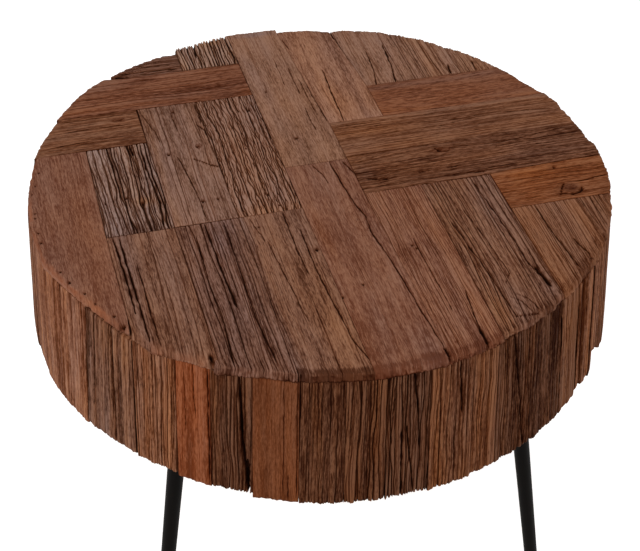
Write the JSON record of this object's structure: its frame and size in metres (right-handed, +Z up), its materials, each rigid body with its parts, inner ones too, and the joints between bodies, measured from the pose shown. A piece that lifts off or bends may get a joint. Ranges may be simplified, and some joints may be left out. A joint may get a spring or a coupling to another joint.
{
  "type": "coffee table",
  "caption": "Round low table: a patchwork of old boards over a drum of upright staves, on splayed tapered round steel legs.",
  "frame": {"origin": "on the floor under the middle of the round top", "axes": "+Z up; +X and +Y along the two directions of the patchwork's joints, with the long centre board running along Y"},
  "size_m": [0.617, 0.617, 0.42],
  "materials": {
    "wood_red": "oiled, worn smooth",
    "wood_brown": "oiled, sawn and worn",
    "wood_light": "oiled, worn smooth",
    "wood_pink": "oiled, worn smooth",
    "wood_grey": "weathered, deeply ridged",
    "wood_dark": "oiled, weathered",
    "wood_orange": "oiled, sawn smooth",
    "stave_wood": "oiled, deeply grooved, splintered ends",
    "plywood": "unfinished plywood",
    "rib_wood": "unfinished pine",
    "black_steel": "black powder coat, satin",
    "screw_steel": "zinc plated",
    "glide_plastic": "black, matte"
  },
  "bodies": {
    "root": {"bottom_board": "plywood", "bottom_board_screws": "screw_steel", "leg_1": "black_steel", "leg_2": "black_steel", "leg_3": "black_steel", "leg_4": "black_steel", "leg_glide_1": "glide_plastic", "leg_glide_2": "glide_plastic", "leg_glide_3": "glide_plastic", "leg_glide_4": "glide_plastic", "leg_plate_1": "black_steel", "leg_plate_2": "black_steel", "leg_plate_3": "black_steel", "leg_plate_4": "black_steel", "leg_plate_screws": "screw_steel", "rib_across": "rib_wood", "rib_lengthwise": "rib_wood", "stave_group_01": "stave_wood", "stave_group_02": "stave_wood", "stave_group_03": "stave_wood", "stave_group_04": "stave_wood", "stave_group_05": "stave_wood", "stave_group_06": "stave_wood", "stave_group_07": "stave_wood", "stave_group_08": "stave_wood", "stave_group_09": "stave_wood", "stave_group_10": "stave_wood", "stave_group_11": "stave_wood", "stave_group_12": "stave_wood", "stave_group_13": "stave_wood", "stave_group_14": "stave_wood", "stave_group_15": "stave_wood", "tile_back_cracked": "wood_light", "tile_back_gnarled": "wood_grey", "tile_back_pink": "wood_pink", "tile_back_right_grooved": "wood_light", "tile_back_wide": "wood_light", "tile_front_centre": "wood_red", "tile_front_left_brown": "wood_brown", "tile_front_light": "wood_brown", "tile_front_pink": "wood_pink", "tile_front_purple": "wood_dark", "tile_front_right_brown": "wood_brown", "tile_front_right_long": "wood_brown", "tile_front_right_sliver": "wood_dark", "tile_grooved_tan": "wood_light", "tile_left_cross_brown": "wood_brown", "tile_left_cross_red": "wood_red", "tile_left_cross_sliver": "wood_dark", "tile_left_red": "wood_red", "tile_ridged_grey": "wood_grey", "tile_right_cross_dark": "wood_dark", "tile_right_cross_red": "wood_red", "tile_right_cross_tan": "wood_brown", "tile_right_orange": "wood_orange", "tile_taupe": "wood_light", "top_board": "plywood", "top_board_screws": "screw_steel"}
  },
  "joints": []
}
